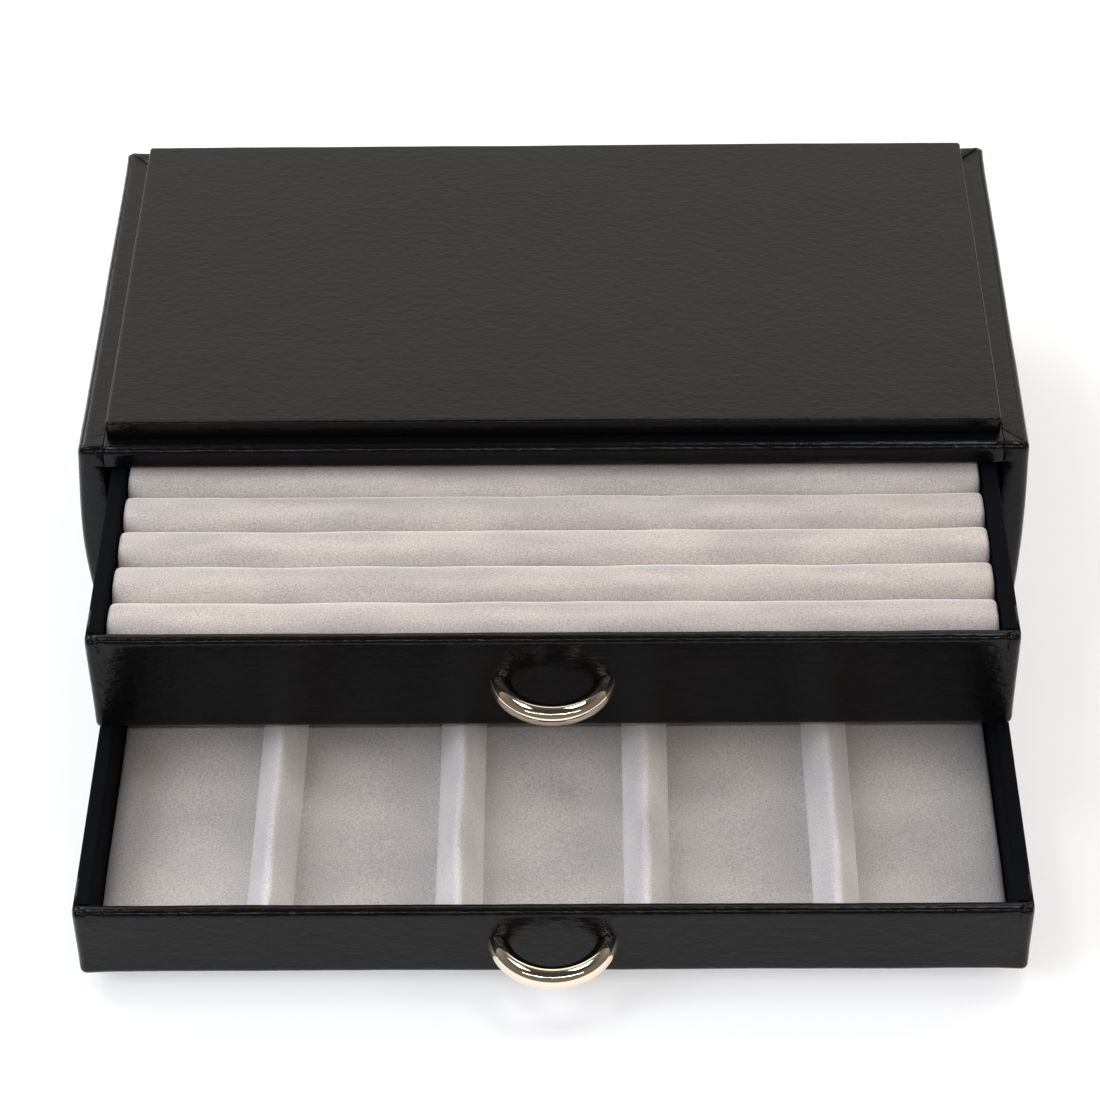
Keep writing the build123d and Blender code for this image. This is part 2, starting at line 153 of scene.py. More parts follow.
felt_nap = 0.4               # mm, the nap's tufts
felt_relief = 0.08           # mm, their height

felt, tree, shader = new_finish(
    "black_felt", "141415", {"Roughness": 0.95, "Sheen Weight": 0.15, "Sheen Roughness": 0.5}
)
nap = add_node(
    tree,
    "TexNoise",
    {"Scale": 1.0, "Vector": place_in_mm(tree, (felt_nap,) * 3), "Detail": 3.0},
)
relief = add_node(tree, "Bump", {"Height": nap.outputs["Fac"], "Distance": felt_relief * mm})
tree.links.new(relief.outputs["Normal"], shader.inputs["Normal"])
finish_nodes(["base_cloth"], felt)

# === Case leather =================================================================================
# Smooth black calf leather, about 1 mm thick, glued round the boards: rail, sill, sides and back.
# It is folded over the top ledge with mitred corners and turned in round the mouths of both bays.
# From here to the table, lengths are in millimetres.

leather = 1.0                # its thickness
half_width = 151.5
half_depth = 81.5
ledge = 82.0                 # its height, round the raised panel
case_foot = 1.0              # the leather ends at the base cloth
case_edge = 2.6              # edge radius over the leather
bay_half_width = 143.2
bay_floor = 5.0
bay_ceiling = 74.5
turned_in = 12.0             # into the bays
ledge_turn = 13.0            # in over the top, under the raised panel
shelf_bottom = 33.3
shelf_top = 35.3
seam_press = 0.2             # how deep a seam is pressed in
mitre_press = {"rear": 0.4, "left": 0.05, "right": 0.25}     # the same for the folded corners
mitre_fall = case_edge * 0.6               # how far the front mitres come down from the ledge
mitre_rear = 60.0            # behind here the mitres run down the upright edges
seam_reach = 0.75            # how far a seam rounds off to each side
seam_back = 0.5              # how far behind the front's rounding it is still pressed in
side_swell = (2.4, 1.0)      # how far the left and the right side stand out half way up
swell_gather = 1.3           # more than 1 gathers the swell half way up
ear_size = 0.9               # the folded leather at the rear corners stands out so far
ear_lift = 0.3               # and up by this share of it
ear_reach = 5.0              # so far round each corner
ear_squeeze = 0.6            # less than 1 draws it out up and down
ear_gather = 1.5             # more than 1 gathers it at the corner
corner_line = half_width - half_depth      # |x| - |y| along the mitred corners
stretch_wave = 38.0          # the waves that stretching leaves in the leather
stretch_height = 0.18
rub_wave = 11.0              # the smaller ones from rubbing it down
rub_height = 0.07
held_share = 0.25            # what is left of both where a drawer slides past
mesh_step = 4.0              # between the mesh's lines on flat leather
flat = 1.0                   # from a rounding to the first of those lines
tolerance = 0.01             # in finding faces and edges by their place
on_cut = 1e-4                # so near a cut, a point lies on it


def block(x, y, z):
    """A closed square block between two faces on each axis. All shaping is in millimetres."""
    bm = bmesh.new()
    bmesh.ops.create_cube(bm, size=1.0)
    bmesh.ops.scale(bm, vec=(x[1] - x[0], y[1] - y[0], z[1] - z[0]), verts=bm.verts)
    bmesh.ops.translate(bm, vec=(sum(x) / 2, sum(y) / 2, sum(z) / 2), verts=bm.verts)
    return bm


def edges_at(bm, test):
    """The edges whose two ends both pass a test."""
    return [edge for edge in bm.edges if all(test(vert.co) for vert in edge.verts)]


def edges_along(edges, axis):
    """Those of the edges whose two ends lie more than a millimetre apart along an axis."""
    return [edge for edge in edges if abs(edge.verts[0].co[axis] - edge.verts[1].co[axis]) > 1]


def sharp_edges(edges, angle):
    """Those of the edges where two faces meet at more than an angle, in radians."""
    return [edge for edge in edges if edge.calc_face_angle(0) > angle]


def round_off(bm, edges, radius, steps):
    """Rounds edges with that many faces."""
    bmesh.ops.bevel(
        bm,
        geom=edges,
        offset=radius,
        segments=steps,
        profile=0.5,
        affect="EDGES",
        material=-1,
        clamp_overlap=True,
    )


def score(bm, point, normal, near=None):
    """Adds a line of points where a plane crosses the mesh, or only faces that pass a test."""
    faces = [face for face in bm.faces if near is None or near(face.calc_center_median())]
    edges = {edge for face in faces for edge in face.edges}
    verts = {vert for face in faces for vert in face.verts}
    geom = [*verts, *edges, *faces]
    bmesh.ops.bisect_plane(bm, geom=geom, dist=on_cut, plane_co=point, plane_no=normal)


def score_across(bm, axis, places, near=None):
    """Scores the mesh square across one axis at each place."""
    for place in places:
        point = [place if a == axis else 0 for a in range(3)]
        score(bm, point, [a == axis for a in range(3)], near)


def evenly(low, high, step):
    """Places from low to high, at most a step apart, both ends left out."""
    count = max(1, math.ceil((high - low) / step))
    return [low + (high - low) * index / count for index in range(1, count)]


def cut_away(bm, test):
    """Takes out the faces whose middle passes a test."""
    away = [face for face in bm.faces if test(face.calc_center_median())]
    bmesh.ops.delete(bm, geom=away, context="FACES")


def push(bm, amount):
    """Moves each point out along its own normal, by what amount says for its place."""
    bm.normal_update()
    moves = [(vert, vert.normal * amount(vert.co)) for vert in bm.verts]
    for vert, move in moves:
        vert.co += move


def hand_laid(place):
    """The slight waves of leather stretched and rubbed down by hand, unbroken at the seams."""
    stretched = stretch_height * noise.noise(place / stretch_wave)
    return stretched + rub_height * noise.noise(place / rub_wave + Vector((40, 0, 0)))


def held_in_mouth(place):
    """The same waves, but flat where a drawer slides past."""
    beside = abs(place.x) < bay_half_width + flat
    near = beside and bay_floor - flat < place.z < bay_ceiling + flat
    return hand_laid(place) * (held_share if near and place.y < 0 else 1.0)


def make_piece(bm, name, finish, body, stands_for, thickness=None):
    """Turns a finished mesh into a piece of the object, in metres, on its body. A thickness is for
    a skin, and goes inwards."""
    bmesh.ops.scale(bm, vec=(mm, mm, mm), verts=bm.verts)
    mesh = bpy.data.meshes.new(name)
    bm.to_mesh(mesh)
    bm.free()
    mesh.shade_smooth()
    mesh.materials.append(finish)
    piece = bpy.data.objects.new(name, mesh)
    scene.collection.objects.link(piece)
    if thickness:
        skin = piece.modifiers.new("thickness", "SOLIDIFY")
        skin.thickness = thickness * mm
        skin.offset = -1.0
    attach(piece, body)
    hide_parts(*stands_for)
    return piece


# Aniline-dyed calf, smooth and waxed: it reflects softly, and fine creases, which run across the
# box, break the reflection. The creases are a little coarser than real so that they show.
crease_length = 1.7
crease_width = 0.65
pore = 0.35
pore_share = 0.25            # of the creases' height
fine_relief = 0.07           # the height of creases and pores
wave_length = 4.0            # of the soft waves under the creases
wave_width = 2.2
wave_relief = 0.18

calf, tree, shader = new_finish(
    "waxed_calf_leather",
    "070708",
    {"Roughness": 0.28, "Specular IOR Level": 0.05, "Coat Weight": 0.25, "Coat Roughness": 0.12},
)
along_crease = place_in_mm(tree, (crease_length, crease_width, crease_width))
along_wave = place_in_mm(tree, (wave_length, wave_width, wave_width))
creases = add_node(tree, "TexNoise", {"Scale": 1.0, "Vector": along_crease, "Detail": 3.0})
pores = add_node(
    tree, "TexNoise", {"Scale": 1.0, "Vector": place_in_mm(tree, (pore,) * 3), "Detail": 1.0}
)
waves = add_node(tree, "TexNoise", {"Scale": 1.0, "Vector": along_wave, "Detail": 2.0})
height = add_node(
    tree,
    "Math",
    {0: pores.outputs["Fac"], 1: pore_share, 2: creases.outputs["Fac"]},
    operation="MULTIPLY_ADD",
)
fine = add_node(
    tree, "Bump", {"Height": height.outputs["Value"], "Distance": fine_relief * mm}
)
relief = add_node(
    tree,
    "Bump",
    {
        "Height": waves.outputs["Fac"],
        "Distance": wave_relief * mm,
        "Normal": fine.outputs["Normal"],
    },
)
tree.links.new(relief.outputs["Normal"], shader.inputs["Normal"])
tree.links.new(relief.outputs["Normal"], shader.inputs["Coat Normal"])
tint = add_node(tree, "ValToRGB", {"Fac": creases.outputs["Fac"]})
tint.color_ramp.elements[0].color = linear("050505")
tint.color_ramp.elements[0].position = 0.3
tint.color_ramp.elements[1].color = linear("0a0a0b")
tint.color_ramp.elements[1].position = 0.7
tree.links.new(tint.outputs["Color"], shader.inputs["Base Color"])

jacket = block((-half_width, half_width), (-half_depth, half_depth), (case_foot, ledge))
round_off(
    jacket,
    edges_along(jacket.edges, 2) + edges_at(jacket, lambda p: p.z > ledge - tolerance),
    case_edge,
    steps=5,
)

mouth_edge = 0.9             # rounding of the turned-in edges
past_mouth = 0.1             # from that rounding to the next line of the mesh
turn_start = 1.5             # how far in the lines on the turned-in leather begin
turn_step = 3.5              # between them
seam_clear = 0.05            # this near a seam, a face still counts as a side wall's


def beside_mouth(p):
    """On the rail or the sill, clear of the rounded edges of the mouths."""
    return p.z > bay_ceiling + mouth_edge or p.z < bay_floor - mouth_edge


score_across(jacket, 0, (-bay_half_width, bay_half_width))
score_across(
    jacket, 2, (bay_floor - mouth_edge - past_mouth, bay_ceiling + mouth_edge + past_mouth)
)
for side in (-1, 1):
    for off in (-seam_reach, -seam_reach / 2, seam_reach / 2, seam_reach):
        score_across(jacket, 0, [side * (bay_half_width + off)], beside_mouth)
score_across(jacket, 0, evenly(-bay_half_width + flat, bay_half_width - flat, mesh_step))
score_across(jacket, 0, (-half_width + case_edge + flat, half_width - case_edge - flat))
score_across(jacket, 1, evenly(-half_depth + ledge_turn, half_depth - ledge_turn, mesh_step))
score_across(jacket, 1, (-half_depth + ledge_turn, half_depth - ledge_turn))
score_across(jacket, 1, (-half_depth + case_edge + flat, half_depth - case_edge - flat))
score_across(
    jacket,
    2,
    (bay_floor, shelf_bottom, shelf_top, bay_ceiling, ledge - case_edge - flat, bay_floor / 2),
)
for low, high in ((bay_floor, shelf_bottom), (shelf_top, bay_ceiling)):
    score_across(jacket, 2, evenly(low, high, mesh_step))
for side_x in (-1, 1):
    for side_y in (-1, 1):
        def at_corner(p):
            """On a corner of the ledge, and at the rear also on the upright edge below it."""
            high = p.z > (0 if side_y > 0 else ledge - mitre_fall)
            near_side = p.x * side_x > half_width - ledge_turn
            return high and near_side and p.y * side_y > half_depth - ledge_turn

        for off in (-seam_reach, -seam_reach / 2, 0, seam_reach / 2, seam_reach):
            point = (side_x * (half_width + off), side_y * half_depth, ledge)
            score(jacket, point, (side_x, -side_y, 0), at_corner)


def in_top_hole(p):
    """On the ledge's height, inside the leather turned in over the top."""
    inside_turn = abs(p.x) < half_width - ledge_turn and abs(p.y) < half_depth - ledge_turn
    return p.z > ledge - tolerance and inside_turn


def in_mouth(p):
    """On the front, where the bays open."""
    opened = abs(p.x) < bay_half_width and bay_floor < p.z < bay_ceiling
    return p.y < -half_depth + tolerance and opened


cut_away(jacket, in_top_hole)
cut_away(jacket, lambda p: p.z < case_foot + tolerance)
cut_away(jacket, in_mouth)


def on_mouth(p):
    """On the mouth's rim, or inside it."""
    across = abs(p.x) < bay_half_width + tolerance
    within = across and bay_floor - tolerance < p.z < bay_ceiling + tolerance
    return within and p.y < -half_depth + tolerance


rim = [edge for edge in edges_at(jacket, on_mouth) if edge.is_boundary]
turned = bmesh.ops.extrude_edge_only(jacket, edges=rim)["geom"]
turned = [item for item in turned if isinstance(item, bmesh.types.BMVert)]
bmesh.ops.translate(jacket, vec=(0, turned_in, 0), verts=turned)
bmesh.ops.recalc_face_normals(jacket, faces=jacket.faces)
jacket.normal_update()
round_off(jacket, sharp_edges(edges_at(jacket, on_mouth), angle=1.0), mouth_edge, steps=3)
score_across(jacket, 1, evenly(-half_depth + turn_start, -half_depth + turned_in, turn_step))
if sum(face.normal.z * face.calc_area() for face in jacket.faces) < 0:
    bmesh.ops.reverse_faces(jacket, faces=jacket.faces)


def seam_depth(p):
    """How far a seam or a mitre presses the leather in at a place."""
    at_front = p.y < -half_depth + case_edge + seam_back
    off = seam_reach
    if at_front and (p.z > bay_ceiling or p.z < bay_floor):
        off = min(off, abs(abs(p.x) - bay_half_width))
    pressed = seam_press * (1 - off / seam_reach)
    mitre = abs(abs(p.x) - abs(p.y) - corner_line) / math.sqrt(2)
    if mitre < seam_reach and (p.y > mitre_rear or p.z > ledge - mitre_fall):
        depth = mitre_press["rear" if p.y > 0 else "right" if p.x > 0 else "left"]
        pressed = max(pressed, depth * (1 - mitre / seam_reach))
    return -pressed


push(jacket, seam_depth)
push(jacket, held_in_mouth)
# The side walls swell out below the ledge, the left one more.
for vert in jacket.verts:
    if abs(vert.co.x) > half_width - case_edge:
        high = max(0.0, math.sin(math.pi * vert.co.z / ledge))
        swell = side_swell[vert.co.x > 0] * high ** swell_gather
        vert.co.x += math.copysign(swell, vert.co.x)
# The folded leather stands out a little at the two rear corners of the ledge.
for vert in jacket.verts:
    x, y, z = vert.co
    off = Vector((abs(x) - half_width, y - half_depth, (z - ledge) * ear_squeeze)).length
    if off < ear_reach:
        out = ear_size * (1 - off / ear_reach) ** ear_gather
        vert.co += Vector((math.copysign(out, x), out, out * ear_lift))


def leather_part(inside):
    """The jacket's own piece of leather between its seams."""
    part = jacket.copy()
    cut_away(part, lambda p: not inside(p))
    return part


def between_sides(p):
    """On the rail or the sill, between the seams with the side walls."""
    return abs(p.x) < bay_half_width - seam_clear and p.y < -half_depth + ledge_turn


def at_back(p):
    """Behind the rear mitres."""
    return p.y > max(0.0, abs(p.x) - corner_line)


for name, inside in (
    ("rail_leather", lambda p: between_sides(p) and p.z > shelf_top),
    ("sill_leather", lambda p: between_sides(p) and p.z < shelf_bottom),
    ("back_leather", at_back),
    ("side_leather_left", lambda p: not between_sides(p) and not at_back(p) and p.x < 0),
    ("side_leather_right", lambda p: not between_sides(p) and not at_back(p) and p.x > 0),
):
    make_piece(leather_part(inside), "covering_" + name, calf, "case", [name], leather)
jacket.free()

# === Raised panel =================================================================================
# A thinner board on the ledge with its own piece of the same leather, turned down over its edges
# and glued underneath. It stands 6 mm over the ledge and leaves a narrow step all round.

panel_half_width = 142.6
panel_half_depth = 75.3
panel_top = 88.0
panel_corner = 1.2           # rounding of its upright edges
panel_edge = 0.9             # and of its top edges
panel_margin = 2.4           # from its sides to the first lines of the mesh

panel = block(
    (-panel_half_width, panel_half_width), (-panel_half_depth, panel_half_depth), (ledge, panel_top)
)
round_off(panel, edges_along(panel.edges, 2), panel_corner, steps=4)
top_edges = sharp_edges(edges_at(panel, lambda p: p.z > panel_top - tolerance), angle=1.0)
round_off(panel, top_edges, panel_edge, steps=5)
reach_x = panel_half_width - panel_margin
reach_y = panel_half_depth - panel_margin
score_across(panel, 0, evenly(-reach_x, reach_x, mesh_step))
score_across(panel, 1, evenly(-reach_y, reach_y, mesh_step))
score_across(panel, 0, (-reach_x, reach_x))
score_across(panel, 1, (-reach_y, reach_y))
score_across(panel, 2, (ledge + flat, ledge + 3 * flat))
cut_away(panel, lambda p: p.z < ledge + tolerance)
push(panel, hand_laid)
make_piece(panel, "covering_panel_leather", calf, "case", ["panel_leather"], leather)

# === Drawer boxes =================================================================================
# Each drawer is a tray of four thin boards and a bottom, covered inside, over the rim and outside
# in the black lining paper, glued down. Front board, sides and back are glued at their corners.

for drawer in ("upper_", "lower_"):
    finish_nodes(
        [drawer + part for part in ("front_board", "left_side", "right_side", "back", "bottom")],
        fibreboard,
    )
    finish_nodes(
        [drawer + part for part in ("front_lining", "left_lining", "right_lining", "back_lining")],
        lining_paper,
    )

# === Drawer fronts ================================================================================
# Calf leather wrapped round each front board: turned in over the top edge and underneath, with the
# corners folded like a parcel and a flap at each end glued back onto the drawer's side.

drawer_half_width = 141.6
front_thickness = 4.5
front_edge = 2.1
front_turn = 10.0            # down the inside of the front
end_turn = 5.6               # in from each end behind the front
upper_front = -159.5         # the upper drawer's face, 78 mm open
lower_front = -232.5         # the lower one's, 151 mm open
face_margin = 2.9            # from the face's edges to the first lines of the mesh
face_step = 3.5              # between them, going up
end_reach = 5.0              # at each end, where the mesh is finer for the folds
end_step = 0.4
flap_length = 10.0           # back along each side
flap_lap = 2.0               # of that, beside the front itself
flap_edge = 0.95
rim_drop = 0.4               # of the flap below the front's top
bottom_rise = 0.6            # and above its underside
fold_press = 0.5             # how deep a parcel fold is pressed in
fold_reach = 0.8             # how far it rounds off
fold_height = 2.5            # how far down from the top it shows
fold_start = 4.5             # in from the end, on the face
fold_slope = 0.75            # outwards, for each millimetre back
bulge = 0.5                  # of the fuller leather at the lower corners
bulge_reach = 9.0            # round the corner, over the face
bulge_depth = 2.2            # and back from it

for name, body, front, bottom, top in (
    ("upper", "upper_drawer", upper_front, 35.6, 73.1),
    ("lower", "lower_drawer", lower_front, 5.3, 32.5),
):
    inside = front + front_thickness
    cover = block((-drawer_half_width, drawer_half_width), (front, inside), (bottom, top))
    face_edges = edges_at(cover, lambda p: p.y < front + tolerance)
    corner_edges = edges_along(cover.edges, 1)
    rear_edge = edges_at(cover, lambda p: p.y > inside - tolerance and p.z > top - tolerance)
    round_off(cover, face_edges + corner_edges + rear_edge, front_edge, steps=7)
    end = drawer_half_width - end_reach
    score_across(cover, 0, evenly(-end, end, mesh_step) + [-end, end])
    for side in (-1, 1):
        score_across(cover, 0, [side * (end + end_step * step) for step in range(1, 9)])
    face_ends = (bottom + face_margin, top - face_margin)
    score_across(cover, 2, evenly(*face_ends, face_step) + [*face_ends])
    score_across(cover, 2, [top - front_turn])
    score_across(cover, 1, [front + front_thickness / 2])

    def behind(p):
        """On the rear face, where no leather is turned in."""
        low = p.z < top - front_turn
        at_side = abs(p.x) > drawer_half_width - end_turn and p.z < top - leather
        return p.y > inside - tolerance and (low or at_side)

    cut_away(cover, behind)

    def corner_fold(p):
        """The parcel folds at the upper corners, and the fuller leather at the lower ones."""
        off = fold_reach
        if p.z > top - fold_height:
            over = abs(p.x) - (drawer_half_width - fold_start)
            off = min(off, abs(over - (p.y - front) * fold_slope))
        corner_off = math.hypot(abs(p.x) - drawer_half_width, p.z - bottom)
        full = max(0.0, 1 - corner_off / bulge_reach) * max(0.0, 1 - (p.y - front) / bulge_depth)
        return bulge * full - fold_press * (1 - off / fold_reach)

    push(cover, corner_fold)
    push(cover, hand_laid)
    for side in (-1, 1):
        x = sorted((side * drawer_half_width, side * (drawer_half_width - leather)))
        y = (inside - flap_lap, inside + flap_length)
        flap = block(x, y, (bottom + bottom_rise, top - rim_drop))

        def outer_top(p):
            """Along the flap's upper edge, on the outside."""
            return p.z > top - rim_drop - tolerance and p.x * side > drawer_half_width - tolerance

        round_off(flap, edges_at(flap, outer_top), flap_edge, steps=4)
        spare = bpy.data.meshes.new("flap")
        flap.to_mesh(spare)
        flap.free()
        cover.from_mesh(spare)
        bpy.data.meshes.remove(spare)
    make_piece(
        cover, f"covering_{name}_front", calf, body, [f"{name}_front_leather"], leather
    )

# === Bow pulls ====================================================================================
# Polished nickel-plated brass: round bar bent to a bow, cut flush where it meets the leather, and
# held by a screw in each end from inside the front. It stands level, half way up the front.

pull_radius = 3.35           # of the bar
pull_half_span = 16.2        # to the middle of the bar where it meets the front
pull_reach = 13.3            # of the bar's middle, out from the front
pull_cut_edge = 0.25         # rounding of its cut ends
bar_sides = 32
bow_steps = 72
bow_radius = (pull_half_span**2 + pull_reach**2) / (2 * pull_reach)
half_angle = math.asin(pull_half_span / bow_radius)
run_past = 2 * pull_radius / bow_radius      # past the leather, then cut off

# Nickel plate, buffed bright: a warm white metal that mirrors the room with hardly any haze.
haze_size = 6.0

nickel, tree, shader = new_finish("polished_nickel_plate", "dccfba", {"Metallic": 1.0})
haze = add_node(
    tree,
    "TexNoise",
    {"Scale": 1.0, "Vector": place_in_mm(tree, (haze_size,) * 3), "Detail": 2.0},
)
gloss = add_node(
    tree,
    "MapRange",
    {
        "Value": haze.outputs["Fac"],
        "From Min": 0.3,
        "From Max": 0.7,
        "To Min": 0.04,
        "To Max": 0.08,
    },
)
tree.links.new(gloss.outputs["Result"], shader.inputs["Roughness"])

# Zinc-plated steel screws, turned: a grey sheen, hidden in the front boards.
screw_steel, tree, shader = new_finish(
    "zinc_plated_steel", "b4b6b8", {"Roughness": 0.35, "Metallic": 1.0}
)
finish_nodes(["upper_pull_screws", "lower_pull_screws"], screw_steel)


def turn(bm, angle, axis):
    """Turns a mesh about one of the three axes."""
    bmesh.ops.rotate(bm, cent=(0, 0, 0), matrix=Matrix.Rotation(angle, 3, axis), verts=bm.verts)


for name, body, front, middle in (
    ("upper", "upper_drawer", upper_front, 54.35),
    ("lower", "lower_drawer", lower_front, 18.9),
):
    bow = bmesh.new()
    bmesh.ops.create_circle(bow, segments=bar_sides, radius=pull_radius, cap_ends=False)
    turn(bow, math.pi / 2, "X")
    bmesh.ops.translate(bow, vec=(bow_radius, 0, 0), verts=bow.verts)
    turn(bow, math.pi / 2 - half_angle - run_past, "Z")
    bmesh.ops.spin(
        bow,
        geom=bow.verts[:] + bow.edges[:],
        cent=(0, 0, 0),
        axis=(0, 0, 1),
        angle=2 * (half_angle + run_past),
        steps=bow_steps,
        use_merge=False,
    )
    bmesh.ops.translate(bow, vec=(0, pull_reach - bow_radius, 0), verts=bow.verts)
    turn(bow, math.pi, "Z")
    bmesh.ops.translate(bow, vec=(0, front, middle), verts=bow.verts)
    bmesh.ops.bisect_plane(
        bow,
        geom=bow.verts[:] + bow.edges[:] + bow.faces[:],
        dist=on_cut,
        plane_co=(0, front, 0),
        plane_no=(0, 1, 0),
        clear_outer=True,
    )
    bmesh.ops.holes_fill(bow, edges=[edge for edge in bow.edges if edge.is_boundary], sides=0)
    bmesh.ops.recalc_face_normals(bow, faces=bow.faces)
    cut_edges = sharp_edges(edges_at(bow, lambda p: p.y > front - tolerance), angle=0.7)
    round_off(bow, cut_edges, pull_cut_edge, steps=2)
    make_piece(bow, f"bow_{name}_pull", nickel, body, [f"{name}_pull"])

# === Ring rolls ===================================================================================
# Nine rods of soft foam side by side across the upper drawer, each covered in pale suede and
# pressed against the next, so that rings hold in the slits. They stand glued on a card base.

# Split suede with a short brushed nap: no gloss, a soft sheen where it is seen aslant, and patches
# where it was stroked one way or the other. The clumps of fibre are a little coarser than real.
clump = 0.45                 # of the nap's fibres
nap_relief = 0.1


def new_suede(name, between, tips, patch):
    """Suede, with the colours between its clumps of fibre and on their tips, and its patches'
    size in millimetres along x, y and z."""
    finish, tree, shader = new_finish(
        name,
        tips,
        {"Roughness": 1.0, "Sheen Weight": 0.8, "Sheen Roughness": 0.4, "Specular IOR Level": 0.1},
    )
    patches = add_node(
        tree, "TexNoise", {"Scale": 1.0, "Vector": place_in_mm(tree, patch), "Detail": 1.0}
    )
    clumps = add_node(
        tree, "TexNoise", {"Scale": 1.0, "Vector": place_in_mm(tree, (clump,) * 3), "Detail": 2.0}
    )
    stroked = add_node(tree, "ValToRGB", {"Fac": patches.outputs["Fac"]})
    stroked.color_ramp.elements[0].color = linear("ebebef")
    stroked.color_ramp.elements[0].position = 0.35
    stroked.color_ramp.elements[1].color = linear("ffffff")
    stroked.color_ramp.elements[1].position = 0.65
    fibres = add_node(tree, "ValToRGB", {"Fac": clumps.outputs["Fac"]})
    fibres.color_ramp.elements[0].color = linear(between)
    fibres.color_ramp.elements[0].position = 0.32
    fibres.color_ramp.elements[1].color = linear(tips)
    fibres.color_ramp.elements[1].position = 0.68
    tint = add_node(
        tree,
        "VectorMath",
        {0: stroked.outputs["Color"], 1: fibres.outputs["Color"]},
        operation="MULTIPLY",
    )
    tree.links.new(tint.outputs["Vector"], shader.inputs["Base Color"])
    relief = add_node(
        tree, "Bump", {"Height": clumps.outputs["Fac"], "Distance": nap_relief * mm}
    )
    tree.links.new(relief.outputs["Normal"], shader.inputs["Normal"])
    return finish


rolled_suede = new_suede("rolled_brushed_suede", "a79f96", "cdc3b9", (30.0, 8.0, 30.0))

# Grey card under the rolls, as cut.
card, tree, shader = new_finish("grey_card", "bdbbb6", {"Roughness": 0.9})
finish_nodes(["upper_roll_base"], card)

roll_count = 9
roll_inside = -153.5         # the first roll's front
roll_length = 146.5          # of all nine, front to back
roll_pitch = roll_length / roll_count
roll_foot = 50.5
roll_crest = 71.7
roll_end = 136.1
roll_half = 7.75             # half a roll's width before it swells
roll_round = 5.6             # of its long upper edges
roll_end_round = 1.6
roll_step = 4.4              # between the mesh's lines along it
roll_glue = 0.8              # how far up from the base a roll is held
lump_height = 0.28           # the slight lumps of the foam
lump_length = 24.0           # along the roll
lump_rise = 14.0             # and up it
roll_room = (0.3, 0.42, 0.5)               # what a point may move as the foam swells
square_corner = 1.2          # radians: more than this between two faces is an unrounded edge
soft_pieces = []


def corners(part):
    """The places of a point's, an edge's or a face's corners, in order."""
    verts = [part] if isinstance(part, bmesh.types.BMVert) else part.verts
    return sorted(vert.co[:] for vert in verts)


def put_in_order(bm):
    """Orders a mesh by place. The operators leave it in another order each run, and the foam, whose
    simulation follows that order, would end a little differently."""
    for parts in (bm.verts, bm.edges, bm.faces):
        rank = {part: number for number, part in enumerate(sorted(parts, key=corners))}
        parts.sort(key=rank.get)
        parts.index_update()


def soft_piece(bm, name, finish, body, stands_for, glued, limit):
    """A suede-covered foam piece before its foam swells. Glued says which points hold, and limit
    how far in x, y and z each other point may move."""
    put_in_order(bm)
    piece = make_piece(bm, name, finish, body, [stands_for])
    group = piece.vertex_groups.new(name="glued")
    group.add([v.index for v in piece.data.vertices if glued(v.co / mm)], 1.0, "REPLACE")
    soft_pieces.append((piece, limit))


for index in range(roll_count):
    middle = roll_inside + (index + 0.5) * roll_pitch
    y = (middle - roll_half, middle + roll_half)
    roll = block((-roll_end, roll_end), y, (roll_foot, roll_crest))
    crest = edges_along(edges_at(roll, lambda p: p.z > roll_crest - tolerance), 0)
    round_off(roll, crest, roll_round, steps=6)
    ends = [
        edge
        for edge in sharp_edges(roll.edges, square_corner)
        if abs(edge.verts[0].co.x - edge.verts[1].co.x) < 1
        and max(vert.co.z for vert in edge.verts) > roll_foot + tolerance
    ]
    round_off(roll, ends, roll_end_round, steps=3)
    score_across(roll, 0, evenly(-roll_end + 2 * flat, roll_end - 2 * flat, roll_step))
    score_across(roll, 2, [roll_foot + mesh_step * line for line in (1, 2, 3)])

    def uneven(p):
        """The foam's lumps, different on each roll."""
        seed = Vector((0, 31.0 * index, 0))
        place = Vector((p.x / lump_length, index * 5.0, p.z / lump_rise))
        return lump_height * noise.noise(place + seed)

    push(roll, uneven)
    soft_piece(
        roll,
        f"suede_roll_{index + 1}",
        rolled_suede,
        "upper_drawer",
        f"ring_roll_{index + 1}",
        lambda p: p.z < roll_foot + roll_glue,
        roll_room,
    )

# === Padded floor and dividers ====================================================================
# A pad of foam under the same suede fills the lower drawer's floor, and four soft wedges of foam
# lie across it from front to back, with the suede drawn tight over them. They are glued at their
# feet and leave five places for cufflinks.

pad_inside = -228.0
pad_length = 148.0
pad_foot = 8.3
pad_top = 15.9
pad_end = 136.3
pad_gap = 0.5                # at its front and its back
pad_round = 1.4
pad_step = 4.2               # between the mesh's lines
pad_glue = 1.5               # the foam is held below this depth
pad_lump = 17.0              # the slight lumps of the foam
pad_lump_height = 0.16
pad_room = (0.1, 0.1, 0.9)                 # what a point may move as the foam swells
divider_count = 4
divider_pitch = 56.8
divider_base = 14.4          # its width at the floor
divider_margin = 0.5         # at each side of that the pad isn't held down
divider_foot = 2.5           # up to here the mesh is finer
divider_height = 11.2
divider_sunk = 2.0           # below the pad's top
divider_gap = 0.6            # at its front and its back
divider_end = 0.8            # from its ends to the next line of the mesh
divider_step = 2.2           # between the lines going up
divider_glue = 0.6           # how far up from the pad's top it is held
divider_flare = 1.2          # more than 1 hollows its sides
divider_wander = 0.9         # how far the crest strays from a straight line
wander_length = 30.0
divider_lump = (6.0, 22.0, 9.0)            # the slight lumps of the foam
divider_lump_height = 0.25
divider_room = (0.5, 0.2, 0.3)
crest_half = 0.9             # half the crest's width
crest_round = 0.81           # of its two edges

